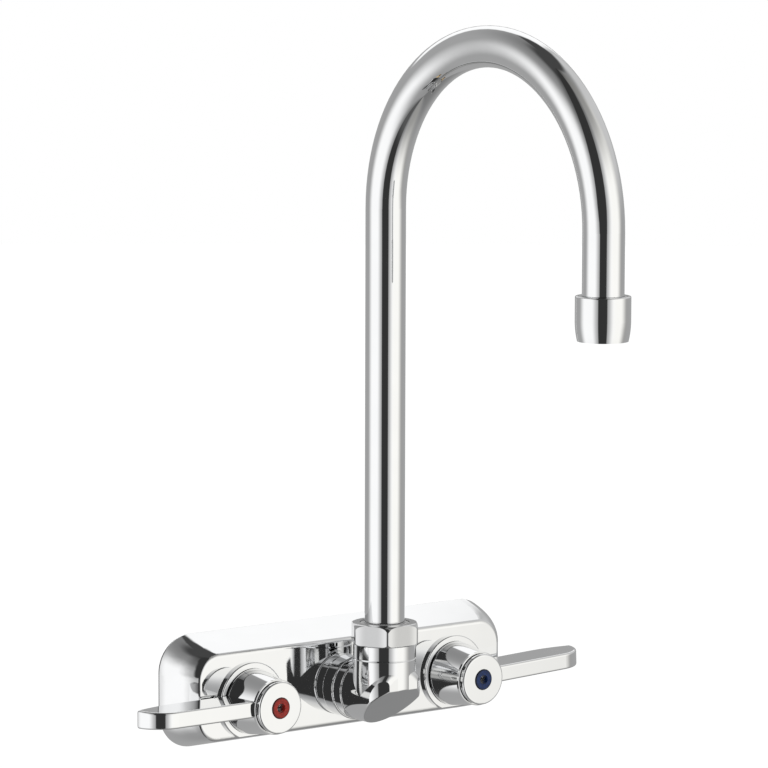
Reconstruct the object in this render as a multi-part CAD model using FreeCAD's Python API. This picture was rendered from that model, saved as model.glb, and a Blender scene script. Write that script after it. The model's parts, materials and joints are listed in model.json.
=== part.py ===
"""Bar sink faucet for a wall, with a swivelling gooseneck and two quarter-turn lever valves.

Frame: millimetres, +Z up. The origin lies on the wall, midway between the two inlets, at the
height of the valve axes. The faucet stands out from the wall towards -Y, so a "reach" below is a
distance in front of the wall, and +Y runs into the wall along the inlet shanks.
"""
import FreeCAD, Part
import math
import os

from FreeCAD import Vector

# Main layout
inlet_spacing = 101.6
gasket_thickness = 1.5
body_depth = 17.5
spout_axis_stand_off = 20.7
spout_reach = 131.2
spout_spring_height = 193.2
outlet_drop = 40.6
tube_radius = 7.94
tube_wall = 0.9

# Body casting, a drafted block with rounded corners and crowned ends that run past the valve axes
body_back_end = 31.7
body_back_height = 45.6
body_back_corner = 15.0
body_back_rise = 3.7
body_face_end = 24.0
body_face_height = 34.2
body_face_corner = 10.0
body_face_rise = 2.6
body_end_crown = 1.9
body_edge_round = 1.8
body_rear_round = 0.7
body_wall = 3.0
pocket_margin = 2.6
pocket_web = 2.4

# Valve barrels, water ways and spout neck in the casting
barrel_margin = 2.3
barrel_rise = 1.8
barrel_edge_round = 0.6
barrel_foot_inset = 0.9
shank_socket_depth = 6.0
seat_web = 2.0
port_radius = 4.5
chamber_radius = 9.5
gallery_radius = 4.0
neck_ring_band = 0.5
neck_ring_rise = 3.3
neck_margin = -0.2

# Inlet shanks, their seals and what clamps them to the panel
shank_radius = 10.45
shank_length = 23.0
shank_shoulder = 1.95
shank_wall = 2.3
shank_chamfer = 1.2
supply_thread_length = 9.4
thread_relief_width = 2.0
thread_relief_depth = 0.7
shank_seal_thickness = 0.8
panel_thickness = 3.0
panel_washer_band = 5.55
panel_washer_thickness = 1.6
panel_nut_wall = 3.55
panel_nut_height = 7.0
nut_chamfer = 0.8
wall_gasket_inset = 1.2
wall_gasket_hole_gap = 0.4

# Ceramic valve, one for each side
seat_seal_thickness = 1.5
seat_seal_width = 1.9
disc_thickness = 2.2
disc_gap = 0.05
disc_port_inner = 2.0
disc_port_outer = 6.0
disc_port_angle = 80.0
disc_opening_angle = 90.0
cartridge_wall = 1.5
cartridge_window_width = 7.0
bonnet_gasket_thickness = 0.7
bonnet_gasket_band = 0.7
bonnet_hex_height = 3.5
bonnet_neck_radius = 7.0
bonnet_neck_length = 4.0
stem_radius = 5.1
stem_flange_thickness = 1.8
stem_tip_step = 1.2
stem_tip_length = 4.4
stem_flat_depth = 0.7
stem_clip_inset = 0.4
stem_clip_thickness = 0.8
stem_clip_grip = 0.6
stem_ring_section = 0.6
stem_ring_pitch = 4.0

# Lever handles
hub_wall = 1.6
hub_front_radius = 10.7
hub_base_land = 0.4
hub_gap = 0.4
cap_step = 0.4
cap_thickness = 1.9
cap_round = 0.8
cap_groove_width = 0.5
cap_groove_depth = 0.9
bead_stand_out = 0.2
bead_width = 1.4
bead_round = 0.4
lever_reach = 58.0
lever_set_back = 3.3
lever_front_height = 6.5
lever_rear_height = 7.4
lever_tip_depth = 11.7
lever_sweep_length = 20.0
lever_heel_round = 1.2
lever_edge_round = 0.9
hot_lever_rest_angle = 0.0
cold_lever_rest_angle = 2.3
handle_web = 1.4
handle_screw_radius = 1.9
handle_screw_length = 9.9
screw_head_radius = 3.4
screw_head_height = 1.9
screw_recess_width = 0.8
screw_recess_length = 3.2
screw_recess_depth = 1.1
index_ledge = 0.85
index_thickness = 1.5
index_crown = 0.4
index_window_radius = 1.9

# Elbow under the spout
elbow_rim_wall = 1.5
elbow_top = 14.8
elbow_forward_reach = 12.2
elbow_facet_drop = 7.2
elbow_facet_slope = 40.0
elbow_rim_round = 1.0
elbow_nose_round = 3.9
elbow_facet_round = 0.8
elbow_nose_radius = 14.0
elbow_spigot_length = 10.0
elbow_spigot_wall = 3.05
elbow_bore_radius = 5.0
elbow_seal_section = 0.9

# Swivel joint between elbow and spout
seam_chamfer = 0.35
collar_height = 6.0
adapter_wall = 1.4
adapter_socket_depth = 10.3
adapter_seal_thickness = 0.8
adapter_thread_step = 1.3
adapter_thread_length = 4.4
sleeve_wall = 1.56
sleeve_tail = 1.7
sleeve_flange_inset = 0.3
sleeve_flange_thickness = 1.0
sleeve_lip = 1.0
sleeve_ring_section = 0.5
sleeve_ring_pitch = 4.0
bushing_flange_thickness = 1.05
bushing_collar_height = 1.3
bushing_wall = 1.76
spout_nut_margin = 0.15
spout_nut_lip = 1.65
spout_nut_corner_round = 1.6
spout_nut_shoulder_round = 2.4
spout_nut_foot_round = 1.0
spout_nut_turn = -2.5

# Aerator
aerator_taper = 0.9
aerator_height = 16.9
aerator_barrel_height = 9.4
aerator_edge_round = 0.5
aerator_wall = 1.25
aerator_lip_width = 0.8
aerator_lip_height = 0.9
ferrule_wall = 1.21
ferrule_height = 7.5
ferrule_lip = 0.8
aerator_washer_thickness = 1.2
aerator_washer_width = 2.5
insert_wall = 1.2
insert_plate = 1.2
insert_jet_radius = 0.7
insert_jet_count = 12
insert_jet_ring = 4.8
screen_thickness = 0.6
screen_hole = 0.9
screen_pitch = 1.7

# Clearances, and how near an edge must be to a plane to lie in it
running_clearance = 0.05
thread_clearance = 0.05
slip_clearance = 0.1
seat_gap = 0.1
plane_tolerance = 0.01

# Widths and radii that follow from the sizes above
body_back_width = inlet_spacing + 2 * body_back_end
body_face_width = inlet_spacing + 2 * body_face_end
shank_spigot_radius = shank_radius - shank_shoulder
shank_bore_radius = shank_spigot_radius - shank_wall
panel_washer_radius = shank_radius + panel_washer_band
panel_nut_flats = 2 * (shank_radius + panel_nut_wall)
cartridge_radius = chamber_radius - slip_clearance
cartridge_bore = cartridge_radius - cartridge_wall
disc_radius = cartridge_bore - slip_clearance
bonnet_flats = 2 * (chamber_radius + slip_clearance)
bonnet_corner_radius = bonnet_flats / math.sqrt(3)
stem_bore = stem_radius + running_clearance
stem_tip_radius = stem_radius - stem_tip_step
stem_groove_radius = stem_tip_radius - stem_clip_grip
stem_clip_radius = bonnet_neck_radius - stem_clip_inset
stem_hole_radius = handle_screw_radius + thread_clearance
stem_socket_radius = stem_tip_radius + thread_clearance
hub_rear_radius = bonnet_corner_radius + hub_gap + hub_wall
barrel_radius = hub_rear_radius + barrel_margin
bead_radius = hub_front_radius + bead_stand_out
cap_radius = hub_front_radius - cap_step
index_radius = screw_head_radius + index_ledge
sleeve_bore = tube_radius + running_clearance
sleeve_radius = sleeve_bore + sleeve_wall
swivel_bore_radius = sleeve_radius + running_clearance
adapter_socket_radius = swivel_bore_radius + adapter_wall
elbow_radius = adapter_socket_radius + elbow_rim_wall
adapter_thread_radius = elbow_radius - adapter_thread_step
sleeve_flange_radius = adapter_thread_radius - sleeve_flange_inset
bushing_radius = sleeve_bore + bushing_wall
spout_nut_mouth_radius = bushing_radius + slip_clearance
spout_nut_flats = 2 * (elbow_radius + spout_nut_margin)
neck_radius = elbow_radius + neck_margin
neck_ring_radius = neck_radius + neck_ring_band
spigot_radius = elbow_bore_radius + elbow_spigot_wall
neck_bore_radius = spigot_radius + thread_clearance
ferrule_radius = sleeve_bore + ferrule_wall
aerator_bore = ferrule_radius + thread_clearance
aerator_radius = aerator_bore + aerator_wall
aerator_mouth_radius = aerator_radius - aerator_taper
insert_radius = aerator_bore - slip_clearance

# Reaches in front of the wall
body_back = gasket_thickness
body_face = body_back + body_depth
barrel_front = body_face + barrel_rise
spout_axis = body_face + spout_axis_stand_off
outlet_reach = spout_axis + spout_reach
elbow_rear = spout_axis - elbow_radius
neck_front = elbow_rear - seat_gap
gallery = body_face - body_wall - gallery_radius
seat_floor = body_back + shank_socket_depth + seat_web
fixed_disc_rear = seat_floor + seat_seal_thickness
turning_disc_rear = fixed_disc_rear + disc_thickness + disc_gap
stem_rear = turning_disc_rear + disc_thickness
stem_shoulder = stem_rear + stem_flange_thickness
cartridge_shoulder = stem_shoulder + seat_gap
bonnet_hex_rear = barrel_front + bonnet_gasket_thickness
bonnet_hex_front = bonnet_hex_rear + bonnet_hex_height
bonnet_front = bonnet_hex_front + bonnet_neck_length
clip_rear = bonnet_front + seat_gap
stem_tip_rear = clip_rear + stem_clip_thickness + slip_clearance
stem_front = stem_tip_rear + stem_tip_length
hub_rear = barrel_front + hub_gap
hub_hex_room = bonnet_hex_front + hub_gap
hub_neck_room = stem_tip_rear + hub_gap
screw_seat = stem_front + seat_gap + handle_web
index_seat = screw_seat + screw_head_height
knob_front = index_seat + index_thickness

# Heights above the valve axes
elbow_socket_floor = elbow_top - adapter_socket_depth
adapter_floor = elbow_socket_floor + adapter_seal_thickness
collar_top = elbow_top + collar_height
adapter_top = collar_top + adapter_thread_length
sleeve_floor = adapter_floor + sleeve_tail
tube_floor = sleeve_floor + sleeve_lip
flange_bottom = adapter_top + running_clearance
flange_top = flange_bottom + sleeve_flange_thickness
nut_bottom = collar_top + seat_gap
nut_lip = flange_top + bushing_flange_thickness + running_clearance
spout_nut_top = nut_lip + spout_nut_lip
outlet_height = spout_spring_height - outlet_drop
aerator_top = outlet_height + aerator_height
ferrule_top = aerator_top - 2 * seat_gap
ferrule_floor = ferrule_top - ferrule_height
tube_end = ferrule_floor + ferrule_lip
insert_floor = outlet_height + aerator_lip_height
insert_top = ferrule_floor - aerator_washer_thickness

SIDES = (("hot", -1, hot_lever_rest_angle), ("cold", 1, cold_lever_rest_angle))

os.makedirs("parts", exist_ok=True)


def save(shape, name):
    """Write one named piece."""
    shape.exportStep(f"parts/{name}.step")


def save_at_rest(shape, name, side, rest_angle):
    """Write a piece that turns with its lever, turned about the valve axis to where the lever rests."""
    shape.rotate(Vector(side * inlet_spacing / 2, 0, 0), Vector(0, 1, 0), -side * rest_angle)
    save(shape, name)


def rod(radius, near, far, x=0.0, z=0.0):
    """Round bar along the depth axis, from one reach in front of the wall to another."""
    return Part.makeCylinder(radius, far - near, Vector(x, -near, z), Vector(0, -1, 0))


def post(radius, low, high, reach=spout_axis):
    """Upright round bar at a reach in front of the wall."""
    return Part.makeCylinder(radius, high - low, Vector(0, -reach, low))


def tube_along(outer, inner, near, far, x=0.0, z=0.0):
    return rod(outer, near, far, x, z).cut(rod(inner, near, far, x, z))


def pipe_up(outer, inner, low, high, reach=spout_axis):
    return post(outer, low, high, reach).cut(post(inner, low, high, reach))


def turned(points, x=0.0, z=0.0):
    """Solid turned about the depth axis from (radius, reach) points, closed on the axis."""
    corners = [Vector(x + radius, -reach, z) for radius, reach in points]
    corners = [Vector(x, -points[0][1], z)] + corners + [Vector(x, -points[-1][1], z)]
    face = Part.Face(Part.makePolygon(corners + corners[:1]))
    return face.revolve(Vector(x, 0, z), Vector(0, 1, 0), 360)


def spun(points, reach):
    """Solid turned about an upright axis from (radius, height) points, closed on the axis."""
    corners = [Vector(radius, -reach, height) for radius, height in points]
    corners = [Vector(0, -reach, points[0][1])] + corners + [Vector(0, -reach, points[-1][1])]
    face = Part.Face(Part.makePolygon(corners + corners[:1]))
    return face.revolve(Vector(0, -reach, 0), Vector(0, 0, 1), 360)


def ring_along(section, radius, reach, x=0.0, z=0.0):
    """Round-section seal ring about the depth axis."""
    return Part.makeTorus(radius, section, Vector(x, -reach, z), Vector(0, 1, 0))


def hexagon(flats, turn):
    """Corners of a hexagon by its width across flats, turned by an angle in degrees."""
    corner_radius = flats / math.sqrt(3)
    angles = [math.radians(turn + 60 * step) for step in range(6)]
    return [(corner_radius * math.cos(angle), corner_radius * math.sin(angle)) for angle in angles]


def hex_along(flats, near, far, x=0.0):
    """Hexagon bar along the depth axis with its outer corners turned off at the front."""
    corners = [Vector(x + across, -near, up) for across, up in hexagon(flats, 30)]
    bar = Part.Face(Part.makePolygon(corners + corners[:1])).extrude(Vector(0, near - far, 0))
    reach_out = flats / math.sqrt(3)
    turned_off = turned([(reach_out, near), (reach_out, far - nut_chamfer), (flats / 2, far)], x)
    return bar.common(turned_off)


def rounded_outline(width, height, corner, reach, rise):
    """Rounded rectangle parallel to the wall, as one closed wire."""
    edges = []
    across = width / 2 - corner
    up = height / 2 - corner
    centres = ((across, up), (-across, up), (-across, -up), (across, -up))
    for step, (cx, cz) in enumerate(centres):
        start = math.radians(90 * step)
        points = []
        for part in range(3):
            angle = start + math.radians(45 * part)
            x = cx + corner * math.cos(angle)
            z = rise + cz + corner * math.sin(angle)
            points.append(Vector(x, -reach, z))
        edges.append(Part.Arc(*points).toShape())
        nx, nz = centres[(step + 1) % 4]
        turn = start + math.radians(90)
        here = points[2]
        there = Vector(nx + corner * math.cos(turn), -reach, rise + nz + corner * math.sin(turn))
        edges.append(Part.LineSegment(here, there).toShape())
    return Part.Wire(edges)


def drafted_block(inset, rear, front):
    """The casting's outer form, or its inner one when inset, between two reaches."""
    sizes_back = (body_back_width, body_back_height, body_back_corner, body_back_rise)
    sizes_face = (body_face_width, body_face_height, body_face_corner, body_face_rise)
    sizes_middle = [(back + face) / 2 for back, face in zip(sizes_back, sizes_face)]
    sizes_middle[0] += 2 * body_end_crown
    outlines = []
    for sizes, reach in ((sizes_back, rear), (sizes_middle, (rear + front) / 2), (sizes_face, front)):
        width, height, corner, rise = sizes
        outlines.append(rounded_outline(width - 2 * inset, height - 2 * inset, corner - inset, reach, rise))
    return Part.makeLoft(outlines, True, False)


def slab(x_low, x_high, near, far, z_low, z_high):
    return Part.makeBox(x_high - x_low, far - near, z_high - z_low, Vector(x_low, -far, z_low))


def edges_at_reach(shape, reach):
    """Edges that lie wholly in the plane at a reach in front of the wall."""
    found = []
    for edge in shape.Edges:
        box = edge.BoundBox
        if max(abs(box.YMin + reach), abs(box.YMax + reach)) < plane_tolerance:
            found.append(edge)
    return found


def rims_at_height(shape, height):
    """Round edges that lie wholly in the level plane at a height."""
    found = []
    for edge in shape.Edges:
        box = edge.BoundBox
        if edge.Closed and max(abs(box.ZMin - height), abs(box.ZMax - height)) < plane_tolerance:
            found.append(edge)
    return found


def make_body():
    """Brass casting: drafted shell, two valve barrels, spout neck and the mixing gallery."""
    block = drafted_block(0, body_back, body_face)
    block = block.makeFillet(body_edge_round, edges_at_reach(block, body_face))
    block = block.makeFillet(body_rear_round, edges_at_reach(block, body_back))

    half = inlet_spacing / 2
    rail = gallery_radius + pocket_web
    inner = drafted_block(body_wall, body_back, body_face - body_wall)
    inside = half - barrel_radius - pocket_margin
    outside = half + barrel_radius + pocket_margin
    by_neck = neck_ring_radius + pocket_margin
    deepest = body_face - body_wall
    tall = body_back_height
    pockets = []
    for side in (-1, 1):
        near_x, far_x = sorted((side * by_neck, side * inside))
        pockets.append(slab(near_x, far_x, body_back, deepest, rail, tall))
        pockets.append(slab(near_x, far_x, body_back, deepest, -tall, -rail))
        near_x, far_x = sorted((side * outside, side * body_back_width / 2))
        pockets.append(slab(near_x, far_x, body_back, deepest, -tall, tall))
    for pocket in pockets:
        block = block.cut(inner.common(pocket))

    foot = body_face_rise - body_face_height / 2 + barrel_foot_inset

    def raised(radius, rear, front, x):
        disc = rod(radius, rear, front, x)
        disc = disc.makeFillet(barrel_edge_round, edges_at_reach(disc, front))
        return disc.common(slab(x - radius, x + radius, rear, front, foot, radius))

    boss_rear = body_back + body_wall
    bosses = [raised(barrel_radius, boss_rear, barrel_front, side * half) for side in (-1, 1)]
    bosses.append(raised(neck_ring_radius, boss_rear, body_face + neck_ring_rise, 0))
    bosses.append(raised(neck_radius, boss_rear, neck_front, 0))
    block = block.fuse(bosses)

    gallery_end = half - chamber_radius + gallery_radius / 2
    gallery_start = Vector(-gallery_end, -gallery, 0)
    ways = [Part.makeCylinder(gallery_radius, 2 * gallery_end, gallery_start, Vector(1, 0, 0))]
    ways.append(rod(elbow_bore_radius, gallery, neck_front))
    ways.append(rod(neck_bore_radius, elbow_rear - elbow_spigot_length - seat_gap, neck_front))
    for side in (-1, 1):
        x = side * half
        ways.append(rod(shank_spigot_radius + thread_clearance, body_back, seat_floor - seat_web, x))
        ways.append(rod(port_radius, body_back, seat_floor, x))
        ways.append(rod(chamber_radius, seat_floor, barrel_front, x))
    return block.cut(ways).removeSplitter()


def make_wall_gasket():
    """Foam sheet that seals the casting to the wall, with a hole for each shank."""
    outline = rounded_outline(
        body_back_width - 2 * wall_gasket_inset, body_back_height - 2 * wall_gasket_inset,
        body_back_corner - wall_gasket_inset, 0, body_back_rise)
    sheet = Part.Face(outline).extrude(Vector(0, -gasket_thickness, 0))
    hole_radius = shank_radius + wall_gasket_hole_gap
    for side in (-1, 1):
        sheet = sheet.cut(rod(hole_radius, 0, gasket_thickness, side * inlet_spacing / 2))
    return sheet


def make_shank(side):
    """Inlet pipe that screws into the back of its barrel, relieved between its two outer threads."""
    x = side * inlet_spacing / 2
    shoulder = body_back - shank_seal_thickness
    spigot_end = body_back + shank_socket_depth - seat_gap
    relief_rear = supply_thread_length - shank_length
    relief_front = relief_rear + thread_relief_width
    relief_radius = shank_radius - thread_relief_depth
    shank = turned([
        (shank_radius - shank_chamfer, -shank_length),
        (shank_radius, -shank_length + shank_chamfer),
        (shank_radius, relief_rear),
        (relief_radius, relief_rear),
        (relief_radius, relief_front),
        (shank_radius, relief_front),
        (shank_radius, shoulder),
        (shank_spigot_radius, shoulder),
        (shank_spigot_radius, spigot_end),
    ], x)
    return shank.cut(rod(shank_bore_radius, -shank_length, spigot_end, x))


def pair(make_one):
    """Two like pieces, one for each inlet, in one node."""
    return Part.makeCompound([make_one(side * inlet_spacing / 2) for side in (-1, 1)])


def make_shank_seal(x):
    return tube_along(shank_radius, shank_spigot_radius + slip_clearance,
                      body_back - shank_seal_thickness, body_back, x)


def make_panel_washer(x):
    return tube_along(panel_washer_radius, shank_radius + slip_clearance,
                      -panel_thickness - panel_washer_thickness, -panel_thickness, x)


def make_panel_nut(x):
    front = -panel_thickness - panel_washer_thickness
    rear = front - panel_nut_height
    nut = hex_along(panel_nut_flats, rear, front, x)
    return nut.cut(rod(shank_radius + thread_clearance, rear, front, x))


def sector(x, inner, outer, middle, spread, near, far):
    """Wedge of a ring about the depth axis, used for the valve's water ports."""
    start = math.radians(middle - spread / 2)
    centre = math.radians(middle)
    end = math.radians(middle + spread / 2)

    def at(radius, angle):
        return Vector(x + radius * math.cos(angle), -near, radius * math.sin(angle))

    edges = [
        Part.Arc(at(outer, start), at(outer, centre), at(outer, end)).toShape(),
        Part.LineSegment(at(outer, end), at(inner, end)).toShape(),
        Part.Arc(at(inner, end), at(inner, centre), at(inner, start)).toShape(),
        Part.LineSegment(at(inner, start), at(outer, start)).toShape(),
    ]
    return Part.Face(Part.Wire(edges)).extrude(Vector(0, near - far, 0))


def make_valve(name, side):
    """The fixed pieces of one ceramic valve, from the seat to the bonnet."""
    x = side * inlet_spacing / 2
    seal = tube_along(port_radius + seat_seal_width, port_radius, seat_floor, fixed_disc_rear, x)
    save(seal, f"{name}_seat_seal")

    disc_front = fixed_disc_rear + disc_thickness
    disc = rod(disc_radius, fixed_disc_rear, disc_front, x)
    for middle in (90, 270):
        disc = disc.cut(sector(
            x, disc_port_inner, disc_port_outer, middle, disc_port_angle, fixed_disc_rear, disc_front))
    save(disc, f"{name}_fixed_disc")

    gasket = tube_along(bonnet_flats / 2 + bonnet_gasket_band, cartridge_radius + slip_clearance,
                        barrel_front, bonnet_hex_rear, x)
    save(gasket, f"{name}_bonnet_gasket")

    bonnet = rod(cartridge_radius, fixed_disc_rear - seat_gap, bonnet_hex_rear, x)
    bonnet = bonnet.fuse(hex_along(bonnet_flats, bonnet_hex_rear, bonnet_hex_front, x))
    bonnet = bonnet.fuse(rod(bonnet_neck_radius, bonnet_hex_front, bonnet_front, x))
    bonnet = bonnet.cut(rod(cartridge_bore, fixed_disc_rear - seat_gap, cartridge_shoulder, x))
    bonnet = bonnet.cut(rod(stem_bore, cartridge_shoulder, bonnet_front, x))
    window = slab(x - chamber_radius, x + chamber_radius, turning_disc_rear, stem_rear,
                  -cartridge_window_width / 2, cartridge_window_width / 2)
    save(bonnet.cut(window).removeSplitter(), f"{name}_bonnet")


def make_stem(name, side, rest_angle):
    """The turning pieces inside the valve: ceramic disc, stem, its seal rings and its clip."""
    x = side * inlet_spacing / 2
    disc = rod(disc_radius, turning_disc_rear, stem_rear, x)
    for middle in (0, 180):
        disc = disc.cut(sector(
            x, disc_port_inner, disc_radius + slip_clearance, middle, disc_opening_angle,
            turning_disc_rear, stem_rear))
    save_at_rest(disc, f"{name}_turning_disc", side, rest_angle)

    stem = turned([
        (disc_radius - slip_clearance, stem_rear),
        (disc_radius - slip_clearance, stem_shoulder),
        (stem_radius, stem_shoulder),
        (stem_radius, clip_rear),
        (stem_groove_radius, clip_rear),
        (stem_groove_radius, stem_tip_rear),
        (stem_tip_radius, stem_tip_rear),
        (stem_tip_radius, stem_front),
    ], x)
    first_ring = (cartridge_shoulder + bonnet_front - stem_ring_pitch) / 2
    ring_reaches = [first_ring, first_ring + stem_ring_pitch]
    floor = stem_radius - 2 * stem_ring_section
    for reach in ring_reaches:
        near = reach - stem_ring_section - slip_clearance
        far = reach + stem_ring_section + slip_clearance
        stem = stem.cut(tube_along(stem_radius + slip_clearance, floor, near, far, x))
    flat = stem_tip_radius - stem_flat_depth
    for high, low in ((stem_tip_radius, flat), (-flat, -stem_tip_radius)):
        stem = stem.cut(slab(x - stem_tip_radius, x + stem_tip_radius, stem_tip_rear, stem_front, low, high))
    stem = stem.cut(rod(stem_hole_radius, screw_seat - handle_screw_length - seat_gap, stem_front, x))
    save_at_rest(stem, f"{name}_stem", side, rest_angle)

    ring_radius = stem_radius - stem_ring_section
    rings = [ring_along(stem_ring_section, ring_radius, reach, x) for reach in ring_reaches]
    save(Part.makeCompound(rings), f"{name}_stem_o_rings")

    clip_front = clip_rear + stem_clip_thickness
    clip = tube_along(stem_clip_radius, stem_groove_radius + thread_clearance, clip_rear, clip_front, x)
    mouth = stem_groove_radius - stem_clip_grip
    clip = clip.cut(slab(x - mouth, x + mouth, clip_rear, clip_front, -stem_clip_radius, 0))
    save_at_rest(clip, f"{name}_stem_clip", side, rest_angle)


def make_lever(x, side):
    """Flat blade, a little thicker at its rear edge, which sweeps forward to a quarter-round tip."""
    front = knob_front - lever_set_back
    rear = hub_rear
    section = [
        Vector(x, -front, -lever_front_height / 2),
        Vector(x, -front, lever_front_height / 2),
        Vector(x, -rear, lever_rear_height / 2),
        Vector(x, -rear, -lever_rear_height / 2),
    ]
    bar = Part.Face(Part.makePolygon(section + section[:1])).extrude(Vector(side * lever_reach, 0, 0))
    tip_rear = front - lever_tip_depth
    sweep_drop = tip_rear - rear
    sweep_radius = (lever_sweep_length ** 2 + sweep_drop ** 2) / (2 * sweep_drop)
    half_sweep = math.asin(lever_sweep_length / sweep_radius) / 2

    def at(out, reach):
        return Vector(x + side * out, -reach, -lever_rear_height)

    inner = at(0, rear)
    sweep_start = at(lever_reach - lever_sweep_length, rear)
    sweep_middle = at(lever_reach - lever_sweep_length + sweep_radius * math.sin(half_sweep),
                      rear + sweep_radius * (1 - math.cos(half_sweep)))
    heel = at(lever_reach, tip_rear)
    tip_centre = lever_reach - lever_tip_depth
    tip_middle = at(tip_centre + lever_tip_depth * math.sqrt(0.5), tip_rear + lever_tip_depth * math.sqrt(0.5))
    tip_front = at(tip_centre, front)
    outer = at(0, front)
    plan = [
        Part.LineSegment(inner, sweep_start).toShape(),
        Part.Arc(sweep_start, sweep_middle, heel).toShape(),
        Part.Arc(heel, tip_middle, tip_front).toShape(),
        Part.LineSegment(tip_front, outer).toShape(),
        Part.LineSegment(outer, inner).toShape(),
    ]
    outline = Part.Face(Part.Wire(plan)).extrude(Vector(0, 0, 2 * lever_rear_height))
    heel_side = Part.Vertex(heel + Vector(0, 0, lever_rear_height))
    heel_edge = min(outline.Edges, key=lambda edge: edge.distToShape(heel_side)[0])
    outline = outline.makeFillet(lever_heel_round, [heel_edge])
    blade = bar.common(outline)
    long_edges = [edge for edge in blade.Edges if edge.BoundBox.XLength > lever_edge_round]
    return blade.makeFillet(lever_edge_round, long_edges)


def make_handle(name, side, rest_angle):
    """One lever handle with the screw that holds it to the stem and its coloured index ring."""
    x = side * inlet_spacing / 2
    groove_front = knob_front - cap_thickness
    bead_front = groove_front - cap_groove_width
    bead_rear = bead_front - bead_width
    hub = turned([
        (hub_rear_radius, hub_rear),
        (hub_rear_radius, hub_rear + hub_base_land),
        (hub_front_radius, bead_rear),
        (bead_radius, bead_rear + bead_round / 2),
        (bead_radius, bead_front - bead_round / 2),
        (bead_radius - bead_round, bead_front),
        (cap_radius - cap_groove_depth, bead_front),
        (cap_radius - cap_groove_depth, groove_front),
        (cap_radius, groove_front),
        (cap_radius, knob_front),
    ], x)
    hub = hub.makeFillet(cap_round, edges_at_reach(hub, knob_front))
    handle = hub.fuse(make_lever(x, side))
    hollow = [
        rod(bonnet_corner_radius + hub_gap, barrel_front, hub_hex_room, x),
        rod(bonnet_neck_radius + hub_gap, barrel_front, hub_neck_room, x),
        rod(handle_screw_radius + 2 * slip_clearance, barrel_front, screw_seat, x),
        rod(screw_head_radius + slip_clearance, screw_seat, index_seat, x),
        rod(index_radius + thread_clearance, index_seat, knob_front, x),
    ]
    socket = rod(stem_socket_radius, hub_neck_room, stem_front + seat_gap, x)
    flat = stem_tip_radius - stem_flat_depth + thread_clearance
    hollow.append(socket.common(slab(
        x - stem_socket_radius, x + stem_socket_radius, hub_neck_room, stem_front + seat_gap, -flat, flat)))
    handle = handle.cut(hollow).removeSplitter()
    save_at_rest(handle, f"{name}_lever_handle", side, rest_angle)

    screw = rod(handle_screw_radius, screw_seat - handle_screw_length, screw_seat, x)
    screw = screw.fuse(rod(screw_head_radius, screw_seat, index_seat, x))
    recess_floor = index_seat - screw_recess_depth
    long_arm = screw_recess_length / 2
    half_arm = screw_recess_width / 2
    for across, up in ((long_arm, half_arm), (half_arm, long_arm)):
        screw = screw.cut(slab(x - across, x + across, recess_floor, index_seat, -up, up))
    save_at_rest(screw, f"{name}_handle_screw", side, rest_angle)

    crown_front = knob_front + index_crown
    index = rod(index_radius, index_seat, crown_front, x)
    index = index.makeFillet(index_crown, edges_at_reach(index, crown_front))
    save(index.cut(rod(index_window_radius, index_seat, crown_front, x)), f"{name}_index_ring")


def is_sloped(face):
    """Whether a face is the flat cut across the elbow's lower front corner."""
    if face.Surface.TypeId != "Part::GeomPlane":
        return False
    normal = face.Surface.Axis
    return min(abs(normal.y), abs(normal.z)) > plane_tolerance


def make_elbow():
    """Forged elbow that turns the water from the neck up into the spout."""
    nose = spout_axis + elbow_forward_reach
    level = rod(elbow_radius, elbow_rear, nose)
    level = level.makeFillet(elbow_rim_round, edges_at_reach(level, elbow_rear))
    level = level.makeFillet(elbow_nose_round, edges_at_reach(level, nose))
    rear_half = slab(-elbow_radius, elbow_radius, elbow_rear, spout_axis, -elbow_radius, elbow_radius)
    level = level.common(post(elbow_nose_radius, -elbow_radius, elbow_radius).fuse(rear_half))
    upright = post(elbow_radius, 0, elbow_top)
    upright = upright.makeChamfer(seam_chamfer, rims_at_height(upright, elbow_top))
    elbow = upright.fuse(level).removeSplitter()

    span = 4 * elbow_radius
    waste = Part.makeBox(span, span, span, Vector(-span / 2, -span, -span / 2))
    waste.rotate(Vector(0, 0, 0), Vector(1, 0, 0), 90 - elbow_facet_slope)
    waste.translate(Vector(0, -spout_axis, -elbow_facet_drop))
    elbow = elbow.cut(waste)
    facets = [face for face in elbow.Faces if is_sloped(face)]
    elbow = elbow.makeFillet(elbow_facet_round, facets[0].Edges)

    spigot_end = elbow_rear - elbow_spigot_length
    seal_reach = elbow_rear - elbow_spigot_length / 2
    elbow = elbow.fuse(rod(spigot_radius, spigot_end, elbow_rear))
    groove_floor = spigot_radius - 2 * elbow_seal_section
    groove_rear = seal_reach - elbow_seal_section - slip_clearance
    groove_front = seal_reach + elbow_seal_section + slip_clearance
    elbow = elbow.cut(tube_along(neck_bore_radius, groove_floor, groove_rear, groove_front))
    elbow = elbow.cut(rod(elbow_bore_radius, spigot_end, spout_axis))
    elbow = elbow.cut(post(elbow_bore_radius, 0, elbow_socket_floor))
    elbow = elbow.cut(Part.makeSphere(elbow_bore_radius, Vector(0, -spout_axis, 0)))
    elbow = elbow.cut(post(adapter_socket_radius, elbow_socket_floor, elbow_top))
    save(elbow.removeSplitter(), "spout_elbow")
    save(ring_along(elbow_seal_section, spigot_radius - elbow_seal_section, seal_reach), "elbow_o_ring")


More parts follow.
